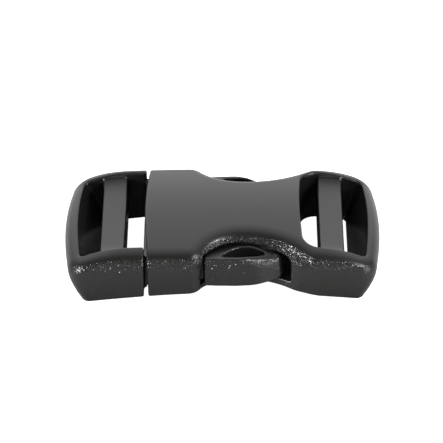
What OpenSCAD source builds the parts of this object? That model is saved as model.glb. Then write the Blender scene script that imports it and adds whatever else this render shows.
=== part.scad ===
// Side release buckle for 16 mm webbing, fastened, resting on its two ends.
// X runs along the strap with the socket at +X, Y runs across it, Z is up.
// The origin is the middle of the box's underside. All sizes are in millimetres.

/* [Overall] */
// Length from end to end
length = 41; // [40.5:0.5:43]
// Width over the side walls
width = 20.5; // [20.5:0.25:21.5]
// Height from the feet to the crown
height = 8.75; // [8.5:0.25:9.25]
// Width of the webbing that the buckle takes
webbing = 16; // [15.5:0.25:16]
// Rise of the arched underside at mid length
arch_rise = 1.15; // [0.8:0.05:1.4]

/* [Outer skin] */
// Radius of the rounding along the top edges
edge_r = 2; // [1.8:0.1:2.1]
// The same rounding round the ends
end_edge_r = 1.1; // [1:0.1:1.4]
// Radius of the rounding along the bottom edges
foot_r = 0.4; // [0.2:0.1:0.5]
// Radius of the crown across the buckle
crown_r = 40; // [36:1:60]
// Taper of a side wall from top to bottom
draft = 0.55; // [0.3:0.05:0.7]
// How far the foot of an end lies inside its widest line
nose_in = 1.45; // [1.3:0.05:1.6]
// How far the waist of the socket flares at its foot, against that taper
waist_flare = 1.05; // [0.8:0.05:1.1]

/* [Strap frames] */
// Distance from the middle to the near face of each strap bar
bar_x = 12.4; // [12.2:0.1:12.8]
// Width of a strap bar along the buckle
bar_w = 3.25; // [2.8:0.05:3.4]
// Thickness of a strap bar
bar_t = 2.2; // [1.8:0.1:2.4]
// Depth of a strap bar's top below the ridge of the buckle
bar_sink = 2.3; // [2:0.05:2.6]

/* [Socket] */
// Gap between the plug's shoulders and the socket's mouth
mouth_gap = 0.57; // [0.4:0.01:0.7]
// Width over the waist
waist_w = 12.6; // [12.2:0.1:13.4]
// Thickness of the roof along its ridge
roof_t = 1.75; // [1.7:0.05:1.8]
// Thickness of the floor at mid length
floor_t = 0.8; // [0.7:0.05:0.9]
// Thickness of a side wall at its top
side_t = 1.35; // [1.2:0.05:1.4]

/* [Plug] */
// Clearance between the plug and the socket, all round
play = 0.12; // [0.08:0.01:0.15]
// Width over the two release buttons
buttons_w = 18.9; // [18.4:0.1:19]
// Width of the centre tongue
tongue_w = 4; // [3.6:0.1:4.2]

/* [Hidden] */
body_black = [0.22, 0.22, 0.22];
cut = 1;
half_l = length / 2;
half_w = width / 2;

// Places along the buckle
plug_face_x = 10.14;
mouth_x = plug_face_x - mouth_gap;
waist_start_x = -3.24;
waist_near_x = -0.46;
waist_far_x = 7.15;
waist_end_x = 11.66;
window_x = -2.62;
cavity_end_x = 8.8;
frame_start_x = 10.1;
foot_x = 16.5;
drop_x = 12;

// The end of a strap frame in plan: two straight flanks that meet in a wide arc
end_r = 50;
end_angle = 7;
end_taper = 0.2;
end_y = half_w - end_taper;
end_tip_x = half_l + end_r * (1 / cos(end_angle) - 1);
end_x = end_tip_x - end_y * tan(end_angle);
end_corner_r = 2.4;

// The ridge along the top: highest on the plug's side, nearly straight, then falling at the ends
ridge_x = -4;
ridge_r = 350;
drop_r = 15;

// The end wall's inner face is straight at its foot, and leans out to a rim that bows in plan.
// The socket's end wall is a little thinner than the plug's
frame_foot_x = 16.25;
frame_rim_x = 19.4;
frame_rim_z = 7.6;
frame_bow_r = 88;
frame_shift = 0.2;
slot_half = webbing / 2 + 0.25;
floor_z = arch_rise + floor_t;
insert_z = floor_z + play;
insert_half = half_w - side_t - play;
button_half = buttons_w / 2;
// The ceiling is flatter than the crown, and it falls towards the room's end
ceiling_r = 82;
ceiling_z = height - roof_t;
ceiling_fall_x = 2.3;
ceiling_fall_z = ceiling_z - 0.2;
ceiling_fall = 0.2;
insert_h = ceiling_z - button_half * button_half / (2 * ceiling_r) - play - insert_z;
span_step = 1.1;

// Columns: x, half width, corner radius, steps round the corner
SOCKET_OUTLINE = [
    [-mouth_x, half_w, 0, 0],
    [waist_start_x, half_w, 2.2, 5],
    [waist_near_x, waist_w / 2, 6, 7],
    [waist_far_x, waist_w / 2, 11, 7],
    [waist_end_x, half_w, 2.5, 4],
    [end_x, end_y, end_corner_r, 7],
    [end_tip_x, 0, end_r, 8]
];
// The plug's frame is drawn at +X, as the socket's is, and then mirrored
PLUG_OUTLINE = [
    [plug_face_x, half_w, 0, 0],
    [waist_end_x, half_w, 20, 2],
    [end_x, end_y, end_corner_r, 7],
    [end_tip_x, 0, end_r, 8]
];
// Columns: x, distance from the middle, corner radius, steps
ARM_OUTLINE = [
    [-9.9, insert_half, 0, 0],
    [-6.0, insert_half, 4, 3],
    [-3.0, 8.0, 0.6, 3],
    [-2.3, 7.9, 0.2, 3],
    [-2.3, button_half - 0.2, 0.35, 4],
    [3.3, button_half + 0.35, 9, 7],
    [8.62, 7.2, 1.3, 6],
    [7.3, 5.3, 0.9, 5],
    [2.6, 5.35, 6, 5],
    [-1.8, 6.7, 3, 4],
    [-6.0, 7.3, 3, 3],
    [-9.9, 7.3, 0, 0]
];
BUTTON_POCKET = [
    [-0.35, 8.65, 0.3, 4],
    [3.3, 8.85, 6, 5],
    [5.75, 7.55, 0.25, 4],
    [2.5, 6, 3.3, 8]
];

// Rules of the outer skin
function squared(v) = v * v;
function top_at(x, y) = height - squared(y) / (2 * crown_r) - squared(x - ridge_x) / (2 * ridge_r)
    - squared(max(0, abs(x) - drop_x)) / (2 * drop_r);
function bottom_at(x) = max(0, arch_rise * (1 - pow(x / foot_x, 2)));
function edge_at(x) = edge_r + (end_edge_r - edge_r) * smooth_step(drop_x, half_l - 3, abs(x));
function smooth_step(a, b, x) = let (t = min(1, max(0, (x - a) / (b - a)))) t * t * (3 - 2 * t);

// Taper of a wall at x. Only the socket's waist flares, and a side of -1 is the plug's frame
function draft_at(x, side) = draft - (side > 0 ? waist_flare : 0)
    * smooth_step(waist_start_x, 1, x) * (1 - smooth_step(cavity_end_x, waist_end_x + 0.7, x));

// Small helpers for outlines
function unit(v) = v / norm(v);
function between(a, b) = let (n = ceil(norm(b - a) / span_step))
    n < 2 ? [] : [for (i = [1 : n - 1]) a + (b - a) * i / n];
function spot(row) = [row[0], row[1]];

// Points of the rounded corner at b, on the way from a to c
function corner(a, b, c, r, steps) = r == 0 ? [b] :
    let (u = unit(a - b), v = unit(c - b), half = acos(u * v) / 2,
         centre = b + unit(u + v) * r / sin(half),
         from = b + u * r / tan(half) - centre, to = b + v * r / tan(half) - centre,
         start = atan2(from[1], from[0]), whole = atan2(to[1], to[0]) - start,
         turn = whole > 180 ? whole - 360 : whole < -180 ? whole + 360 : whole)
    [for (i = [0 : steps]) centre + r * [cos(start + turn * i / steps), sin(start + turn * i / steps)]];

// A closed outline from a table of corners
function closed_outline(table) = let (n = len(table))
    [for (i = [0 : n - 1]) each corner(spot(table[(i + n - 1) % n]), spot(table[i]),
        spot(table[(i + 1) % n]), table[i][2], table[i][3])];

// Half of a block's outline, from its flat face to the tip of its end at Y = 0
function half_outline(table) =
    let (last = len(table) - 1, tip = table[last],
         corners = [for (i = [0 : last]) i == 0 ? [spot(table[0])] :
             corner(spot(table[i - 1]), spot(table[i]),
                 i == last ? [table[i - 1][0], -table[i - 1][1]] : spot(table[i + 1]),
                 table[i][2], table[i][3])],
         tip_half = [for (i = [0 : tip[3] / 2]) corners[last][i]])
    [for (i = [0 : last]) each concat(
        i == 0 ? [] : between(corners[i - 1][len(corners[i - 1]) - 1], corners[i][0]),
        i == last ? tip_half : corners[i])];

// Inward directions along that outline
function inward(path) = let (n = len(path) - 1)
    [for (i = [0 : n]) i == 0 ? [0, -1] : i == n ? [-1, 0] :
        let (along = unit(path[i + 1] - path[i - 1])) [along[1], -along[0]]];

// One column of skin points below outline point p, from the bottom face to the top face.
// side is -1 for a block that is mirrored to the plug's end afterwards, or else 1
side_levels = 5;
foot_steps = 2;
edge_steps = 6;
function column(p, in, side) =
    let (end_share = smooth_step(drop_x + 1, half_l - 2.5, p[0]), taper = draft_at(p[0], side),
         round_r = edge_at(p[0]), low = bottom_at(p[0]), shoulder = top_at(side * p[0], p[1]) - round_r,
         lean = [in[0] * taper * (1 - end_share) - (nose_in - 1 - in[0]) * end_share, in[1] * taper])
    concat(
        [for (i = [0 : foot_steps - 1])
            let (a = 90 * i / foot_steps, q = p + lean + in * foot_r * (1 - sin(a)))
            [q[0], q[1], low + foot_r * (1 - cos(a))]],
        [for (i = [0 : side_levels]) let (t = i / side_levels, left = squared(1 - t),
                q = [p[0] + lean[0] * left, p[1] + lean[1] * (1 - t)])
            [q[0], q[1], low + foot_r + (shoulder - low - foot_r) * t]],
        [for (i = [1 : edge_steps]) let (a = 90 * i / edge_steps, q = p + in * round_r * (1 - cos(a)))
            [q[0], q[1], top_at(side * q[0], q[1]) - round_r * (1 - sin(a))]]);

// A moulded block: flat face at the start of the outline, rounded end at its tip
crown_steps = 8;
module moulded_block(table, side) {
    path = half_outline(table);
    dirs = inward(path);
    n = len(path) - 1;
    levels = foot_steps + side_levels + 1 + edge_steps;
    half = [for (i = [0 : n]) column(path[i], dirs[i], side)];
    columns = 2 * n + 1;
    skin = [for (j = [0 : columns - 1]) for (p = half[min(j, columns - 1 - j)])
        [p[0], j > n ? -p[1] : j == n ? 0 : p[1], p[2]]];
    crown = [for (i = [0 : n - 1]) let (p = half[i][levels - 1]) for (m = [1 : crown_steps - 1])
        let (y = p[1] * (1 - 2 * m / crown_steps)) [p[0], y, top_at(side * p[0], y)]];
    function at(j, k) = j * levels + k;
    function top_row(i, m) = m == 0 ? at(i, levels - 1) : m == crown_steps ? at(columns - 1 - i, levels - 1) :
        columns * levels + i * (crown_steps - 1) + m - 1;
    sides = [for (j = [0 : columns - 2]) for (k = [0 : levels - 2])
        each [[at(j, k), at(j + 1, k + 1), at(j, k + 1)], [at(j, k), at(j + 1, k), at(j + 1, k + 1)]]];
    top = [for (i = [0 : n - 2]) for (m = [0 : crown_steps - 1])
        each [[top_row(i, m), top_row(i + 1, m + 1), top_row(i, m + 1)],
              [top_row(i, m), top_row(i + 1, m), top_row(i + 1, m + 1)]]];
    top_tip = [for (m = [0 : crown_steps - 1]) [top_row(n - 1, m), at(n, levels - 1), top_row(n - 1, m + 1)]];
    bottom = [for (i = [0 : n - 2]) [at(i, 0), at(columns - 1 - i, 0), at(columns - 2 - i, 0), at(i + 1, 0)]];
    bottom_tip = [[at(n + 1, 0), at(n, 0), at(n - 1, 0)]];
    face = [for (k = [0 : levels - 2]) [at(0, k), at(0, k + 1), at(columns - 1, k + 1), at(columns - 1, k)]];
    face_cap = [[for (m = [0 : crown_steps]) top_row(0, m)]];
    polyhedron(concat(skin, crown), concat(sides, top, top_tip, bottom, bottom_tip, face, face_cap), convexity = 6);
}

// Rectangle with its corners rounded by exact arcs
module rounded_box_2d(x0, y0, x1, y1, r) {
    translate([x0 + r, y0]) square([x1 - x0 - 2 * r, y1 - y0]);
    translate([x0, y0 + r]) square([x1 - x0, y1 - y0 - 2 * r]);
    for (x = [x0 + r, x1 - r], y = [y0 + r, y1 - r]) translate([x, y]) circle(r, $fn = 32);
}

// Turns a drawing in X and Z into a slab that is centred on Y = 0
module across(depth) {
    translate([0, depth / 2, 0]) rotate([90, 0, 0]) linear_extrude(depth) children();
}

// Where the end wall's inner face stands at height z and distance y from the middle
function end_wall_x(y, z, side) = frame_foot_x + side * frame_shift
    + (frame_rim_x - frame_foot_x - squared(y) / (2 * frame_bow_r)) * z / frame_rim_z;

// The strap opening of a frame: upright and slightly bowed at near_x, leaning at its far wall
module strap_opening(near_x, near_r, side) {
    near_bow_r = 85;
    far_r = 0.7;
    levels_z = [-cut, height + cut];
    function near_at(y) = near_x + squared(y) / (2 * near_bow_r);
    function ring(z) = closed_outline(concat(
        [[near_at(slot_half), -slot_half, near_r, 7]],
        [for (i = [-3 : 3]) let (y = slot_half * i / 3)
            [end_wall_x(y, z, side), y, abs(i) == 3 ? far_r : 0, 4]],
        [[near_at(slot_half), slot_half, near_r, 7],
            [near_at(4), 4, 0, 0], [near_x, 0, 0, 0], [near_at(4), -4, 0, 0]]));
    low = ring(levels_z[0]);
    high = ring(levels_z[1]);
    n = len(low);
    walls = [for (i = [0 : n - 1]) let (j = (i + 1) % n) each [[i, n + i, n + j], [i, n + j, j]]];
    polyhedron(concat([for (p = low) [p[0], p[1], levels_z[0]]], [for (p = high) [p[0], p[1], levels_z[1]]]),
        concat(walls, [[for (i = [0 : n - 1]) i], [for (i = [0 : n - 1]) 2 * n - 1 - i]]), convexity = 4);
}

// A strap bar, leaning with the curve of the buckle
module strap_bar(side) {
    bar_lean = 6;
    bar_edge = 0.35;
    middle_x = bar_x + bar_w / 2;
    across(width) translate([middle_x, top_at(side * middle_x, 0) - bar_sink - bar_t / 2]) rotate(-bar_lean)
        rounded_box_2d(-bar_w / 2, -bar_t / 2, bar_w / 2, bar_t / 2, bar_edge);
}

// What is open in a frame: the room on both sides of its bar, which runs from wall to wall
module open_frame(near_x, near_r, side) {
    difference() {
        strap_opening(near_x, near_r, side);
        strap_bar(side);
    }
}

// The room inside the socket: open at the mouth and at the two side windows
module socket_room() {
    function fall_z(x) = ceiling_fall_z - ceiling_fall * (x - ceiling_fall_x);
    high_corner = 0.9;
    low_corner = 0.5;
    intersection() {
        translate([0, 0, floor_z]) linear_extrude(height) union() {
            translate([-mouth_x - cut, -half_w + side_t]) square([mouth_x + cut + cavity_end_x, width - 2 * side_t]);
            translate([window_x, -half_w - cut]) square([cavity_end_x - window_x, width + 2 * cut]);
        }
        translate([0, 0, ceiling_z - ceiling_r]) rotate([0, 90, 0])
            cylinder(r = ceiling_r, h = 2 * length, center = true, $fn = 180);
        across(width + 4 * cut) polygon(closed_outline([
            [-length, floor_z, 0, 0],
            [cavity_end_x, floor_z, low_corner, 5],
            [cavity_end_x, fall_z(cavity_end_x), high_corner, 8],
            [ceiling_fall_x - (height - ceiling_fall_z) / ceiling_fall, height, 0, 0],
            [-length, height, 0, 0]
        ]));
    }
}

module socket() {
    color(body_black) difference() {
        moulded_block(SOCKET_OUTLINE, 1);
        socket_room();
        open_frame(frame_start_x, 2.2, 1);
    }
}

// One spring arm with its release button, on the +Y side
module spring_arm() {
    button_edge = 0.45;
    nose_x = 7.85;
    nose_fall = 1;
    intersection() {
        difference() {
            translate([0, 0, insert_z]) linear_extrude(insert_h) polygon(closed_outline(ARM_OUTLINE));
            linear_extrude(height) polygon(closed_outline(BUTTON_POCKET));
        }
        rotate([90, 0, 90]) linear_extrude(2 * length, center = true)
            rounded_box_2d(-button_half, insert_z, button_half, insert_z + insert_h, button_edge);
        across(width) polygon(closed_outline([
            [-length, insert_z, 0, 0],
            [nose_x, insert_z, 1, 5],
            [nose_x, insert_z + insert_h - nose_fall, 1.4, 5],
            [4.4, insert_z + insert_h, 8, 4],
            [-length, insert_z + insert_h, 0, 0]
        ]));
    }
}

// The tie between the plug's root and a side wall of its frame, with a fillet in their corner
module root_gusset(root_x) {
    gusset_r = 1;
    difference() {
        translate([root_x - gusset_r, slot_half - gusset_r, insert_z])
            cube([gusset_r + 0.2, insert_half - slot_half + gusset_r, insert_h]);
        translate([root_x - gusset_r, slot_half - gusset_r, 0]) cylinder(r = gusset_r, h = height, $fn = 32);
    }
}

// The part of the plug that goes in the socket
module plug_insert() {
    root_x = -10.1;
    root_w = 1.8;
    tongue_tip_x = 6.5;
    tongue_h = insert_h - 0.7;
    skirt_w = 0.4;
    skirt_h = 0.52;
    tongue_r = tongue_w / 2;
    for (side = [0, 1]) mirror([0, side, 0]) {
        spring_arm();
        root_gusset(root_x);
    }
    translate([root_x, -insert_half, insert_z]) cube([root_w, 2 * insert_half, insert_h]);
    translate([root_x, -insert_half, insert_z - skirt_h]) cube([skirt_w, 2 * insert_half, skirt_h + 0.2]);
    translate([root_x, -tongue_r, insert_z]) cube([tongue_tip_x - tongue_r - root_x, tongue_w, tongue_h]);
    translate([tongue_tip_x - tongue_r, 0, insert_z]) cylinder(r = tongue_r, h = tongue_h, $fn = 48);
}

module plug() {
    color(body_black) union() {
        mirror([1, 0, 0]) difference() {
            moulded_block(PLUG_OUTLINE, -1);
            open_frame(plug_face_x - 2 * cut, 0.5, -1);
        }
        plug_insert();
    }
}

socket();
plug();
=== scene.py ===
# A side release buckle for 16 mm webbing, fastened, standing on its two ends.
# Two mouldings in black acetal: the socket at +X and the plug at -X. Sizes here are in
# millimetres, as in the part's source, and become metres in the objects made from them.
import math

import bpy
import numpy as np
import openvdb
from mathutils import Matrix, Vector


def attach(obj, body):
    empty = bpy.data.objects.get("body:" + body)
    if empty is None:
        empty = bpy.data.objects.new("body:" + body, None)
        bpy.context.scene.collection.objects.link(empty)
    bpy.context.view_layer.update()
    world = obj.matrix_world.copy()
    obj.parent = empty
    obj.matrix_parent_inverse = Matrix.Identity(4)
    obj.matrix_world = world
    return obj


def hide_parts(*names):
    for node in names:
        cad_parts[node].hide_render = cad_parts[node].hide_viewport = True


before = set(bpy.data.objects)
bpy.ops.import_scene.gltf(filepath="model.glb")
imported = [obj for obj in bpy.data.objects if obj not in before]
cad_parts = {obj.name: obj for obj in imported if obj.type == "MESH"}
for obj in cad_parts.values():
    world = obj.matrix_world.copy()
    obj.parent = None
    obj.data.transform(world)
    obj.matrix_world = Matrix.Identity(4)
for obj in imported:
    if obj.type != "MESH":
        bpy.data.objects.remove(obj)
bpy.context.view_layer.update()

# Camera
# It stands in front of the buckle and looks down on it, a little from the right, from far
# off with a long lens. One point on the buckle is aimed at its pixel.
MM = 0.001
IMAGE = 443
SENSOR = 36.0
CAMERA_DISTANCE = 380.0
CAMERA_ELEVATION = math.radians(36.3)
CAMERA_TURN = math.radians(-0.86)
CAMERA_ROLL = math.radians(-1.15)
PIXELS_PER_MM = 7.613
AIM_POINT = Vector((0.0, 0.0, 1.15))
AIM_PIXEL = (222.8, 249.0)

back = Vector((math.sin(CAMERA_TURN), math.cos(CAMERA_TURN), 0))
right = Vector((math.cos(CAMERA_TURN), -math.sin(CAMERA_TURN), 0))
view = back * math.cos(CAMERA_ELEVATION) - Vector((0, 0, math.sin(CAMERA_ELEVATION)))
up = back * math.sin(CAMERA_ELEVATION) + Vector((0, 0, math.cos(CAMERA_ELEVATION)))
right, up = (right * math.cos(CAMERA_ROLL) + up * math.sin(CAMERA_ROLL),
             up * math.cos(CAMERA_ROLL) - right * math.sin(CAMERA_ROLL))
focal = PIXELS_PER_MM * CAMERA_DISTANCE
eye = AIM_POINT - view * CAMERA_DISTANCE
aim_right, aim_down = ((pixel - IMAGE / 2) / focal for pixel in AIM_PIXEL)
view = (view + up * aim_down - right * aim_right).normalized()
right = (right - view * right.dot(view)).normalized()
up = right.cross(view)
camera = bpy.data.objects.new("camera", bpy.data.cameras.new("camera"))
camera.data.sensor_width = SENSOR
camera.data.lens = focal / IMAGE * SENSOR
camera.data.clip_start = 0.01
camera.data.clip_end = 20.0
camera.matrix_world = Matrix.Translation(eye * MM) @ Matrix((right, up, -view)).transposed().to_4x4()
bpy.context.scene.collection.objects.link(camera)
bpy.context.scene.camera = camera
bpy.context.scene.view_settings.view_transform = "Standard"

# Sweep and pad
# The sweep is a sheet of coated white board that fills the view from every side. Under the
# buckle lies a dull grey pad, painted shade that stands in for the shadow beneath the buckle,
# so that less light comes up through the openings. The picture is exposed until both burn out to white.
SWEEP_HALF = 1500.0
PAD_HALF = (19.0, 8.5)
CORNERS = ((-1, -1), (1, -1), (1, 1), (-1, 1))
# Clumps of fibre to the millimetre, which mottle either sheet a little.
FIBRE_CLUMPS = 0.9


def linear(hex_colour):
    """The linear values of a colour that is written as sRGB hex."""
    parts = [int(hex_colour[i:i + 2], 16) / 255 for i in (1, 3, 5)]
    return tuple(c / 12.92 if c <= 0.04045 else ((c + 0.055) / 1.055) ** 2.4 for c in parts) + (1.0,)


def add(tree, kind, inputs=None, **settings):
    """A node with its settings; an input takes a value or another node's output."""
    node = tree.nodes.new(kind)
    for key, value in settings.items():
        setattr(node, key, value)
    for key, value in (inputs or {}).items():
        if isinstance(value, bpy.types.NodeSocket):
            tree.links.new(value, node.inputs[key])
        else:
            node.inputs[key].default_value = value
    return node


def burnt_out(name, dark, light, roughness):
    """A sheet between two colours, which the camera alone sees burnt out to white."""
    sheet = bpy.data.materials.new(name)
    sheet.use_nodes = True
    tree = sheet.node_tree
    tree.nodes.clear()
    place = add(tree, "ShaderNodeTexCoord").outputs["Object"]
    fibre = add(tree, "ShaderNodeTexNoise", {"Vector": place, "Scale": FIBRE_CLUMPS / MM, "Detail": 3.0})
    tone = add(tree, "ShaderNodeMix", {"Factor": fibre.outputs["Fac"], "A": linear(dark), "B": linear(light)},
               data_type="RGBA")
    face = add(tree, "ShaderNodeBsdfPrincipled",
               {"Base Color": tone.outputs["Result"], "Roughness": roughness})
    burn = add(tree, "ShaderNodeEmission",
               {"Strength": add(tree, "ShaderNodeLightPath").outputs["Is Camera Ray"]})
    sum_of = add(tree, "ShaderNodeAddShader", {0: face.outputs["BSDF"], 1: burn.outputs["Emission"]})
    add(tree, "ShaderNodeOutputMaterial", {"Surface": sum_of.outputs["Shader"]})
    return sheet


# The pad is the middle one of five faces; the other four are the board round it.
sweep = bpy.data.meshes.new("sweep")
sweep.from_pydata([(x * SWEEP_HALF * MM, y * SWEEP_HALF * MM, 0) for x, y in CORNERS]
                  + [(x * PAD_HALF[0] * MM, y * PAD_HALF[1] * MM, 0) for x, y in CORNERS],
                  [], [(4, 5, 6, 7), (0, 1, 5, 4), (1, 2, 6, 5), (2, 3, 7, 6), (3, 0, 4, 7)])
floor = bpy.data.objects.new("sweep", sweep)
bpy.context.scene.collection.objects.link(floor)
sweep.materials.append(burnt_out("white_board", "#d5d5d4", "#d9d9d9", 0.3))
# The grey pad is painted shade under the buckle: its darkness stands in for the shadow there, and shows only
# in what the buckle reflects and takes in from below.
sweep.materials.append(burnt_out("painted_shade_pad", "#8c8c8c", "#949494", 0.9))
sweep.polygons[0].material_index = 1

# Lights
# Light comes from a white wall behind and above, from a soft box low at the left, from two at
# the right, and from a weak one low in front. High in front there is little, so the shoulders
# go dark.
WALL_LIGHT_UP = math.radians(50)
# Cosines, from the wall's middle, between which its light rises to full.
WALL_EDGE, WALL_MIDDLE = 0.07, 1.0
ROOM_LIGHT, WALL_LIGHT = 0.16, 1.72
WHITE = linear("#ffffff")

world = bpy.data.worlds.new("studio")
bpy.context.scene.world = world
world.use_nodes = True
tree = world.node_tree
tree.nodes.clear()
towards = add(tree, "ShaderNodeVectorMath", {0: add(tree, "ShaderNodeTexCoord").outputs["Generated"],
                                              1: (0, math.cos(WALL_LIGHT_UP), math.sin(WALL_LIGHT_UP))},
              operation="DOT_PRODUCT")
glow = add(tree, "ShaderNodeMapRange", {"Value": towards.outputs["Value"],
                                         "From Min": WALL_EDGE, "From Max": WALL_MIDDLE,
                                         "To Min": ROOM_LIGHT, "To Max": WALL_LIGHT},
           interpolation_type="SMOOTHSTEP")
air = add(tree, "ShaderNodeBackground", {"Color": WHITE, "Strength": glow.outputs["Result"]})
seen = add(tree, "ShaderNodeBackground", {"Color": WHITE, "Strength": 1.0})
which = add(tree, "ShaderNodeMixShader", {0: add(tree, "ShaderNodeLightPath").outputs["Is Camera Ray"],
                                           1: air.outputs["Background"], 2: seen.outputs["Background"]})
add(tree, "ShaderNodeOutputWorld", {"Surface": which.outputs["Shader"]})

# Columns: name, place, width and height, power in watts. Each box is turned to the buckle.
for name, place, size, power in (
        ("left_light", (-505, -316, 45), (210, 80), 3.3),
        ("right_light", (410, -344, 250), (210, 120), 2.4),
        ("right_low_light", (542, -253, 50), (260, 90), 0.7),
        ("front_light", (0, -600, 90), (400, 150), 0.28)):
    data = bpy.data.lights.new(name, "AREA")
    data.shape = "RECTANGLE"
    data.size, data.size_y = size[0] * MM, size[1] * MM
    data.energy = power
    box = bpy.data.objects.new(name, data)
    box.location = Vector(place) * MM
    box.rotation_euler = (-Vector(place)).to_track_quat("-Z", "Y").to_euler()
    box.visible_camera = False
    bpy.context.scene.collection.objects.link(box)

# Socket
# The female half is one injection moulding in black acetal: a shell with roof, floor and
# walls, a side window over each release button, and the strap frame at +X. The plug snaps
# into its mouth, and one curved skin runs over both, so that they read as a single form.
LENGTH, WIDTH, HEIGHT = 41.0, 20.5, 8.75
HALF_L, HALF_W = LENGTH / 2, WIDTH / 2

# The skin is a crowned roof over drafted walls, with an arched underside between two feet.
ARCH_RISE, FOOT_X = 1.15, 16.5
EDGE_R, END_EDGE_R, FOOT_R = 1.7, 1.1, 0.2
CROWN_R, RIDGE_X, RIDGE_R, DROP_X, DROP_R = 40.0, -4.0, 350.0, 12.0, 15.0
DRAFT, NOSE_IN = 0.55, 1.45
END_R, END_ANGLE, END_CORNER_R, FOOT_CORNER_R = 50.0, math.radians(7), 2.4, 1.4
END_Y = HALF_W - 0.2
END_TIP_X = HALF_L + END_R * (1 / math.cos(END_ANGLE) - 1)
END_X = END_TIP_X - END_Y * math.tan(END_ANGLE)
END_EDGE_X, NOSE_SPAN = (DROP_X, HALF_L - 3.0), (DROP_X + 1.0, HALF_L - 2.5)
ARC_STEP = 0.15

# Both halves are worked out as distances from their surface, on a grid of this step.
STEP = 0.1
MARGIN = 3 * STEP
MOST_TRIANGLES = 190000


def smooth_step(low, high, x):
    """From 0 at low to 1 at high, without a kink at either."""
    t = np.clip((x - low) / (high - low), 0, 1)
    return t * t * (3 - 2 * t)


def both(a, b, r):
    """Where both a and b are solid, with the convex edge between them rounded to radius r."""
    return np.minimum(np.maximum(a, b), -r) + np.hypot(np.maximum(a + r, 0), np.maximum(b + r, 0))


def either(a, b, r):
    """Where a or b is solid, with a fillet of radius r in the corner between them."""
    return -both(-a, -b, r)


def outline(corners):
    """A closed outline from rows of x, y and corner radius."""
    points = []
    for i, (x, y, r) in enumerate(corners):
        b = np.array((x, y))
        a, c = np.array(corners[i - 1][:2]), np.array(corners[(i + 1) % len(corners)][:2])
        if r == 0:
            points.append(b)
            continue
        u, v = (a - b) / np.linalg.norm(a - b), (c - b) / np.linalg.norm(c - b)
        half = math.acos(float(u @ v)) / 2
        centre = b + (u + v) / np.linalg.norm(u + v) * r / math.sin(half)
        start, end = b + u * r / math.tan(half) - centre, b + v * r / math.tan(half) - centre
        first = math.atan2(start[1], start[0])
        turn = (math.atan2(end[1], end[0]) - first + math.pi) % (2 * math.pi) - math.pi
        steps = max(4, math.ceil(abs(turn) * r / ARC_STEP))
        for k in range(steps + 1):
            angle = first + turn * k / steps
            points.append(centre + r * np.array((math.cos(angle), math.sin(angle))))
    return np.array(points)


def in_plan(points, x, y):
    """Distance in plan from a closed outline, negative inside it."""
    nearest = np.full(np.broadcast(x, y).shape, 1e9)
    inside = np.zeros(nearest.shape, bool)
    for (ax, ay), (bx, by) in zip(points, np.roll(points, -1, 0)):
        ex, ey = bx - ax, by - ay
        wx, wy = x - ax, y - ay
        t = np.clip((wx * ex + wy * ey) / (ex * ex + ey * ey), 0, 1)
        nearest = np.minimum(nearest, (wx - ex * t) ** 2 + (wy - ey * t) ** 2)
        if ay != by:
            inside ^= ((ay > y) != (by > y)) & (x < ax + (y - ay) * ex / ey)
    return np.where(inside, -1, 1) * np.sqrt(nearest)


def mould_grid(low, high):
    """The places at which a moulding is worked out: x, y and z, ready to spread over a block."""
    axes = [np.arange(a - MARGIN, b + MARGIN, STEP) for a, b in zip(low, high)]
    return axes[0][:, None, None], axes[1][None, :, None], axes[2][None, None, :]


def top_at(x, y):
    """Height of the roof: crowned across, nearly straight along the ridge, falling at the ends."""
    return (HEIGHT - y * y / (2 * CROWN_R) - (x - RIDGE_X) ** 2 / (2 * RIDGE_R)
            - np.maximum(0, abs(x) - DROP_X) ** 2 / (2 * DROP_R))


def slid(flat, x, moved):
    """Values of a plan, read at places that are moved along x."""
    at = np.clip((moved - x[0, 0, 0]) / STEP, 0, flat.shape[0] - 1.001)
    i = at.astype(int)
    j = np.arange(flat.shape[1])[None, :, None]
    return flat[i, j] + (flat[i + 1, j] - flat[i, j]) * (at - i)


def skin(half, flare, x, y, z):
    """The outer skin over the plan that half of an outline gives: distance from it, negative
    inside. Towards the foot an end moves in and its corners sharpen; flare is the outward
    spread of the foot at x, against the taper."""
    sign = math.copysign(1, half[-1][0])

    def plan_with(corner_r):
        rows = half + [(sign * END_X, END_Y, corner_r)]
        rows += [(sign * END_TIP_X, 0, END_R)] + [(a, -b, r) for a, b, r in reversed(rows)]
        return in_plan(outline(rows), x[:, :, 0], y[:, :, 0])

    plan, foot_plan = plan_with(END_CORNER_R), plan_with(FOOT_CORNER_R)
    nx, ny = np.gradient(plan, STEP)
    top, low = top_at(x, y), np.maximum(0, ARCH_RISE * (1 - (x / FOOT_X) ** 2))
    edge = EDGE_R + (END_EDGE_R - EDGE_R) * smooth_step(*END_EDGE_X, abs(x))
    left = 1 - np.clip((z - low - FOOT_R) / (top - edge - low - FOOT_R), 0, 1)
    end_share = smooth_step(*NOSE_SPAN, abs(x))
    moved = x + np.sign(x) * NOSE_IN * left ** 2 * end_share
    wall = slid(plan, x, moved)
    wall += (slid(foot_plan, x, moved) - wall) * left
    side_share = slid(ny * ny, x, moved) + slid(nx * nx, x, moved) * (1 - end_share)
    wall += (DRAFT - flare) * left * side_share
    slope = np.hypot(np.maximum(0, abs(x) - DROP_X) / DROP_R, y / CROWN_R)
    roof = (z - top) / np.sqrt(1 + slope ** 2)
    return both(both(wall, roof, edge), low - z, FOOT_R)


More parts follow.
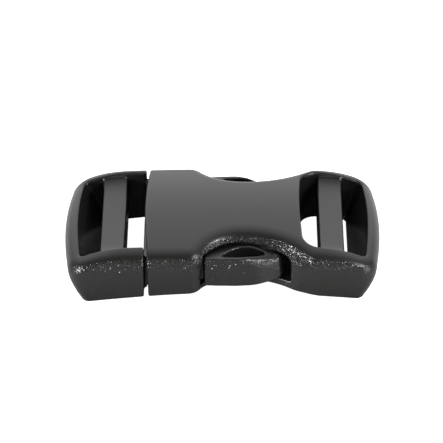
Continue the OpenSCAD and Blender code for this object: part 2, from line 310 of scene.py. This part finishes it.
def sample(field, at):
    """The field's value and its slope at points that are given in steps of the grid."""

    def mix(p, q, t):
        return p + (q - p) * t

    base = np.clip(np.floor(at).astype(int), 0, np.array(field.shape) - 2)
    fx, fy, fz = (at - base).T
    i, j, k = base.T
    c = [[[field[i + a, j + b, k + d] for d in (0, 1)] for b in (0, 1)] for a in (0, 1)]
    x00, x01 = mix(c[0][0][0], c[1][0][0], fx), mix(c[0][0][1], c[1][0][1], fx)
    x10, x11 = mix(c[0][1][0], c[1][1][0], fx), mix(c[0][1][1], c[1][1][1], fx)
    value = mix(mix(x00, x10, fy), mix(x01, x11, fy), fz)
    slope_x = mix(mix(c[1][0][0] - c[0][0][0], c[1][1][0] - c[0][1][0], fy),
                  mix(c[1][0][1] - c[0][0][1], c[1][1][1] - c[0][1][1], fy), fz)
    slope_y = mix(x10 - x00, x11 - x01, fz)
    slope_z = mix(x01, x11, fy) - mix(x00, x10, fy)
    return value, np.stack((slope_x, slope_y, slope_z), 1)


# The mould is spark eroded on the outside of the walls and on the rounded edges up to this
# slope, but not on the ends, and only lightly below this height.
GRAIN_SLOPE, GRAIN_END = (0.48, 0.64), (0.6, 0.85)
GRAIN_HEIGHT, GRAIN_LOW, GRAIN_OUTSIDE = (4.6, 5.4), 0.2, (0.06, 0.2)
ONTO_SURFACE, MOST_MOVE = 3, 0.4


def moulding(name, field, outer, x, y, z, material):
    """The closed mesh of a moulding where its field is zero, with normals from the field. The
    mould's grain is kept as an attribute of the points; outer is the distance from the outside."""
    grid = openvdb.FloatGrid()
    grid.background = 1.0
    grid.copyFromArray(np.ascontiguousarray(field, np.float32))
    points, quads = grid.convertToQuads(isovalue=0)
    mesh = bpy.data.meshes.new(name)
    mesh.from_pydata(points.tolist(), [], quads.tolist())
    mesh.materials.append(material)
    piece = bpy.data.objects.new(name, mesh)
    bpy.context.scene.collection.objects.link(piece)
    triangles = 2 * len(quads)
    if triangles > MOST_TRIANGLES:
        fewer = piece.modifiers.new("fewer", "DECIMATE")
        fewer.ratio = MOST_TRIANGLES / triangles
        bpy.context.view_layer.update()
        final = bpy.data.meshes.new_from_object(piece.evaluated_get(bpy.context.evaluated_depsgraph_get()))
        piece.modifiers.clear()
        piece.data = final
        bpy.data.meshes.remove(mesh)
        mesh = final
        mesh.name = name
    at = np.empty(len(mesh.vertices) * 3, np.float32)
    mesh.vertices.foreach_get("co", at)
    at = at.reshape(-1, 3).astype(float)
    for _ in range(ONTO_SURFACE):
        value, slope = sample(field, at)
        move = np.clip(value / np.maximum((slope ** 2).sum(1), 1e-9), -MOST_MOVE, MOST_MOVE)
        at -= move[:, None] * slope
    slope = sample(field, at)[1]
    normal = slope / np.maximum(np.linalg.norm(slope, axis=1), 1e-9)[:, None]
    co = np.array((x.flat[0], y.flat[0], z.flat[0])) + at * STEP
    coat = 1 - smooth_step(*GRAIN_SLOPE, normal[:, 2])
    coat *= 1 - smooth_step(*GRAIN_END, abs(normal[:, 0]))
    coat *= GRAIN_LOW + (1 - GRAIN_LOW) * smooth_step(*GRAIN_HEIGHT, co[:, 2])
    coat *= 1 - smooth_step(*GRAIN_OUTSIDE, abs(sample(outer, at)[0]))
    mesh.vertices.foreach_set("co", (co * MM).astype(np.float32).ravel())
    mesh.update()
    mesh.shade_smooth()
    mesh.normals_split_custom_set_from_vertices(normal.tolist())
    grained = mesh.attributes.new("grained", "FLOAT", "POINT")
    grained.data.foreach_set("value", coat.astype(np.float32))
    return piece


# Black acetal, injection moulded. The roof and the bars come from a smooth face of the mould,
# which leaves a satin sheen; walls and rounded edges come from spark eroded steel. Its pits
# are under 0.1 mm and are drawn a little coarser so that they show: on the rounded edges they
# glint as specks, over a softer unevenness 0.3 mm wide. The resin itself shows a faint haze.
PIT, PIT_LEAN = 0.11, 2.5
GRAIN, GRAIN_DEEP = 0.3, 0.05
HAZE = 3.0
SATIN, ERODED = 0.28, 0.22
ACETAL_IOR = 1.48

acetal = bpy.data.materials.new("moulded_acetal")
acetal.use_nodes = True
tree = acetal.node_tree
tree.nodes.clear()
place = add(tree, "ShaderNodeTexCoord").outputs["Object"]
grained = add(tree, "ShaderNodeAttribute", attribute_name="grained").outputs["Fac"]
haze = add(tree, "ShaderNodeTexNoise", {"Vector": place, "Scale": 1 / (HAZE * MM), "Detail": 2.0})
tone = add(tree, "ShaderNodeMix",
           {"Factor": haze.outputs["Fac"], "A": linear("#131312"), "B": linear("#181817")},
           data_type="RGBA")
satin = add(tree, "ShaderNodeMapRange", {"Value": grained, "To Min": SATIN, "To Max": ERODED})
pits = add(tree, "ShaderNodeTexVoronoi", {"Vector": place, "Scale": 1 / (PIT * MM)})
lean = add(tree, "ShaderNodeVectorMath", {0: pits.outputs["Color"], 1: (0.5, 0.5, 0.5)},
           operation="SUBTRACT")
few = add(tree, "ShaderNodeVectorMath", {0: lean.outputs["Vector"], 1: lean.outputs["Vector"]},
          operation="DOT_PRODUCT")
how_much = add(tree, "ShaderNodeMath", {0: grained, 1: few.outputs["Value"]}, operation="MULTIPLY")
how_much = add(tree, "ShaderNodeMath", {0: how_much.outputs["Value"], 1: PIT_LEAN}, operation="MULTIPLY")
lean = add(tree, "ShaderNodeVectorMath",
           {0: lean.outputs["Vector"], "Scale": how_much.outputs["Value"]}, operation="SCALE")
facets = add(tree, "ShaderNodeVectorMath", {0: add(tree, "ShaderNodeNewGeometry").outputs["Normal"],
                                             1: lean.outputs["Vector"]}, operation="ADD")
facets = add(tree, "ShaderNodeVectorMath", {0: facets.outputs["Vector"]}, operation="NORMALIZE")
grain = add(tree, "ShaderNodeTexNoise", {"Vector": place, "Scale": 1 / (GRAIN * MM), "Detail": 2.0})
relief = add(tree, "ShaderNodeBump", {"Height": grain.outputs["Fac"], "Strength": grained,
                                       "Distance": GRAIN_DEEP * MM, "Normal": facets.outputs["Vector"]})
plastic = add(tree, "ShaderNodeBsdfPrincipled",
              {"Base Color": tone.outputs["Result"], "IOR": ACETAL_IOR,
               "Roughness": satin.outputs["Result"], "Normal": relief.outputs["Normal"]})
add(tree, "ShaderNodeOutputMaterial", {"Surface": plastic.outputs["BSDF"]})

# The strap frame has an opening from top to bottom whose end wall leans outwards, and a flat
# bar across it that the webbing turns round. The bar is part of the moulding.
BAR_X, BAR_W, BAR_T, BAR_SINK, BAR_LEAN = 12.4, 3.25, 2.2, 2.3, math.radians(6)
BAR_EDGE, BAR_FILLET, BAR_RAMP, RAMP_BEND, BAR_ROOT = 0.35, 0.2, 0.75, 0.6, 0.6
SLOT_HALF, SLOT_DRAFT, DRAFT_Z, END_FOOT_X, END_RIM_X, END_RIM_Z = 8.25, 0.6, 5.0, 16.0, 19.4, 7.6
END_BOW_R, NEAR_BOW_R, END_SHIFT, SLOT_CORNER_R, RIM_R = 88.0, 85.0, 0.2, 0.7, 0.4


def strap_opening(side, near_x, near_r, x, y, z):
    """The opening for the webbing, from its near wall to the end wall, whose face is straight
    at its foot and bowed at its rim."""
    run = END_RIM_X - END_FOOT_X
    far = END_FOOT_X + side * END_SHIFT + (run - y * y / (2 * END_BOW_R)) * z / END_RIM_Z
    end_wall = (side * x - far) / math.hypot(1, run / END_RIM_Z)
    near_wall = near_x + y * y / (2 * NEAR_BOW_R) - side * x
    side_wall = abs(y) - SLOT_HALF + SLOT_DRAFT * np.clip(1 - z / DRAFT_Z, 0, 1)
    return both(both(side_wall, near_wall, near_r), end_wall, SLOT_CORNER_R)


def strap_bar(side, x, y, z):
    """The bar, leaning with the curve of the buckle, with a short ramp up to the wall at each end."""
    middle = BAR_X + BAR_W / 2
    u = side * x - middle
    v = z - (top_at(side * middle, 0.0) - BAR_SINK - BAR_T / 2)
    along = u * math.cos(BAR_LEAN) - v * math.sin(BAR_LEAN)
    across = u * math.sin(BAR_LEAN) + v * math.cos(BAR_LEAN)
    flat = across - BAR_T / 2
    ramp = (flat + np.maximum(SLOT_HALF - abs(y), 0) - BAR_RAMP) / math.sqrt(2)
    section = np.maximum((flat + ramp - np.hypot(flat - ramp, RAMP_BEND)) / 2, -across - BAR_T / 2)
    section = both(abs(along) - BAR_W / 2, section, BAR_EDGE)
    return np.maximum(section, abs(y) - SLOT_HALF - BAR_ROOT)


# The shell: its waist flares at the foot, its mouth's lip bows a little outwards, and its
# ceiling falls towards the end of the room. The windows are cut with the room.
MOUTH_X, PLUG_FACE_X, WAIST_HALF, WAIST_FLARE = 9.57, 10.14, 6.3, 1.05
ROOF_T, FLOOR_T, SIDE_T = 1.75, 0.8, 1.35
FLOOR_Z, CEILING_Z, CEILING_R = ARCH_RISE + FLOOR_T, HEIGHT - ROOF_T, 82.0
FALL_X, FALL_Z, FALL, CEILING_BEND = 2.3, CEILING_Z - 0.2, 0.2, 0.2
WINDOW_X, WINDOW_R, WINDOW_FOOT_R, WINDOW_RIM_R = -2.62, 1.2, 0.25, 0.12
ROOM_END_X, ROOM_END_R, ROOM_FOOT_R, FRAME_X, FRAME_R = 8.8, 0.9, 0.5, 10.1, 2.2
WAIST_START_X, FLARE_FULL_X, WAIST_END_X = -3.24, 1.0, 12.36
LIP_BOW, LIP_HALF, LIP_Z, MOUTH_R = 0.4, 8.5, (CEILING_Z - 0.6, CEILING_Z + 0.1), 0.25
SOCKET_FROM_X = -10.1
# An outline runs on this far past the face where it is cut off.
PAST_FACE = 1.5

x, y, z = mould_grid((SOCKET_FROM_X, -HALF_W, 0), (HALF_L, HALF_W, HEIGHT))
flare = WAIST_FLARE * smooth_step(WAIST_START_X, FLARE_FULL_X, x)
flare *= 1 - smooth_step(ROOM_END_X, WAIST_END_X, x)
# Columns: x, half width, corner radius
shell = skin([(-MOUTH_X - PAST_FACE, HALF_W, 0), (WAIST_START_X, HALF_W, 2.2), (-0.46, WAIST_HALF, 6),
              (7.15, WAIST_HALF, 11), (11.66, HALF_W, 2.5)], flare, x, y, z)
lip = LIP_BOW * (1 - np.minimum(1, (y / LIP_HALF) ** 2)) * smooth_step(*LIP_Z, z)
body = both(shell, -MOUTH_X - lip - x, MOUTH_R)
crown = z - CEILING_Z + y * y / (2 * CEILING_R)
fall = (z - FALL_Z + FALL * (x - FALL_X)) / math.hypot(1, FALL)
ceiling = (crown + fall + np.hypot(crown - fall, CEILING_BEND)) / 2
hollow = both(ceiling, x - ROOM_END_X, ROOM_END_R)
room = np.maximum(both(hollow, FLOOR_Z - z, ROOM_FOOT_R), abs(y) - HALF_W + SIDE_T)
window = both(both(hollow, WINDOW_X - x, WINDOW_R), FLOOR_Z - z, WINDOW_FOOT_R)
body = both(body, -np.minimum(room, window), WINDOW_RIM_R)
body = both(body, -strap_opening(1, FRAME_X, FRAME_R, x, y, z), RIM_R)
body = either(body, strap_bar(1, x, y, z), BAR_FILLET)
socket = moulding("socket_moulding", body, shell, x, y, z, acetal)
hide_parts("socket")
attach(socket, "root")

# Plug
# The male half is one injection moulding in the same acetal: the strap frame at -X, a
# crossbar, a centre tongue and two spring arms. Each arm ends in a release button with a lens
# shaped pocket cut right through it, and the buttons catch in the socket's windows.
PLAY, FACE_DRAFT, FACE_R = 0.12, 0.018, 0.15
OPENING_X, OPENING_R = PLUG_FACE_X - 3.0, 0.5
ARM_Z, ARM_HALF, BUTTON_HALF = FLOOR_Z + PLAY, HALF_W - SIDE_T - PLAY, 9.45
ARM_H = CEILING_Z - BUTTON_HALF ** 2 / (2 * CEILING_R) - PLAY - ARM_Z
NOSE_X, NOSE_FALL = 7.85, 1.0
BUTTON_SIDE_R, BUTTON_EDGE, TIP_EDGE, POINT_LESS, POCKET_EDGE = 0.4, 0.15, 1.2, 0.7, 0.2
TIP_X, POINT_X, UPPER_Z = (1.5, 5.0), (6.5, 7.6), (ARM_Z + 1, ARM_Z + 2)
ROOT_X, ROOT_W, ROOT_EDGE = -10.1, 1.8, 0.3
SKIRT_W, SKIRT_H, SKIRT_LAP = 0.4, 0.52, 0.1
TONGUE_TIP_X, TONGUE_W, TONGUE_LOW, TONGUE_LAP, TONGUE_EDGE = 6.5, 4.0, 0.7, 0.3, 0.4
INSERT_FILLET, TONGUE_FILLET = 0.4, 0.6
PLUG_TO_X = 8.1

# The frame's opening runs on through its face, as far as the crossbar.
x, y, z = mould_grid((-HALF_L, -HALF_W, 0), (PLUG_TO_X, HALF_W, HEIGHT))
# Columns: x, half width, corner radius
frame_skin = skin([(PAST_FACE - PLUG_FACE_X, HALF_W, 0), (-11.66, HALF_W, 20)], 0.0, x, y, z)
body = both(frame_skin, x + PLUG_FACE_X - FACE_DRAFT * z, FACE_R)
body = both(body, -strap_opening(-1, OPENING_X, OPENING_R, x, y, z), RIM_R)
body = either(body, strap_bar(-1, x, y, z), BAR_FILLET)

# Both arms are drawn at once, from the distance to the middle. Columns: x, y, corner radius
plan_x, plan_y = x[:, :, 0], abs(y[:, :, 0])
arm = in_plan(outline([(-9.9, ARM_HALF, 0), (-6.0, ARM_HALF, 4), (-3.0, 8.0, 0.6), (-2.3, 7.9, 0.2),
                       (-2.3, BUTTON_HALF - 0.2, 0.35), (3.3, BUTTON_HALF + 0.35, 9), (8.62, 7.2, 1.3),
                       (7.3, 5.3, 0.9), (2.6, 5.35, 6), (-1.8, 6.7, 3), (-6.0, 7.3, 3), (-9.9, 7.3, 0)]),
              plan_x, plan_y)[:, :, None]
pocket = in_plan(outline([(-0.35, 8.65, 0.3), (3.3, 8.85, 6), (5.75, 7.55, 0.25), (2.5, 6.0, 3.3)]),
                 plan_x, plan_y)[:, :, None]
# Seen from the side, an arm is a flat slab that falls to its nose. Columns: x, z, corner radius
profile = in_plan(outline([(-11, ARM_Z, 0), (NOSE_X, ARM_Z, 1), (NOSE_X, ARM_Z + ARM_H - NOSE_FALL, 1.4),
                           (4.4, ARM_Z + ARM_H, 8), (-11, ARM_Z + ARM_H, 0)]),
                  x[:, 0, :], z[0, :, :])[:, None, :]
# The button's upper edge is crisp near the frame, full towards the tip, and slighter at the point.
toward_tip = smooth_step(*TIP_X, x) * (1 - POINT_LESS * smooth_step(*POINT_X, x))
upper = smooth_step(*UPPER_Z, z)
button_edge = BUTTON_EDGE + (BUTTON_EDGE + TIP_EDGE * toward_tip) * upper
button = both(both(arm, abs(y) - BUTTON_HALF, BUTTON_SIDE_R), profile, button_edge)
arm = both(button, -pocket, POCKET_EDGE)

# The crossbar joins the arms to the frame in the socket's mouth, with a thin skirt below it,
# and the tongue runs from it down the middle of the socket.
slab = abs(z - ARM_Z - ARM_H / 2) - ARM_H / 2
root = both(abs(x - ROOT_X - ROOT_W / 2) - ROOT_W / 2, slab, ROOT_EDGE)
skirt = np.maximum(abs(x - ROOT_X - SKIRT_W / 2) - SKIRT_W / 2,
                   abs(z - ARM_Z + SKIRT_H / 2 - SKIRT_LAP) - SKIRT_H / 2 - SKIRT_LAP)
root = both(np.minimum(root, skirt), abs(y) - ARM_HALF, ROOT_EDGE)
tongue_slab = abs(z - ARM_Z - (ARM_H - TONGUE_LOW) / 2) - (ARM_H - TONGUE_LOW) / 2
tongue = np.hypot(np.maximum(x - TONGUE_TIP_X + TONGUE_W / 2, 0), y) - TONGUE_W / 2
tongue = both(both(tongue, ROOT_X + TONGUE_LAP - x, ROOT_EDGE), tongue_slab, TONGUE_EDGE)
insert = either(either(root, arm, INSERT_FILLET), tongue, TONGUE_FILLET)
body = either(body, insert, INSERT_FILLET)
outer = np.where(abs(frame_skin) < abs(button), frame_skin, button)
plug = moulding("plug_moulding", body, outer, x, y, z, acetal)
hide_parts("plug")
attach(plug, "root")
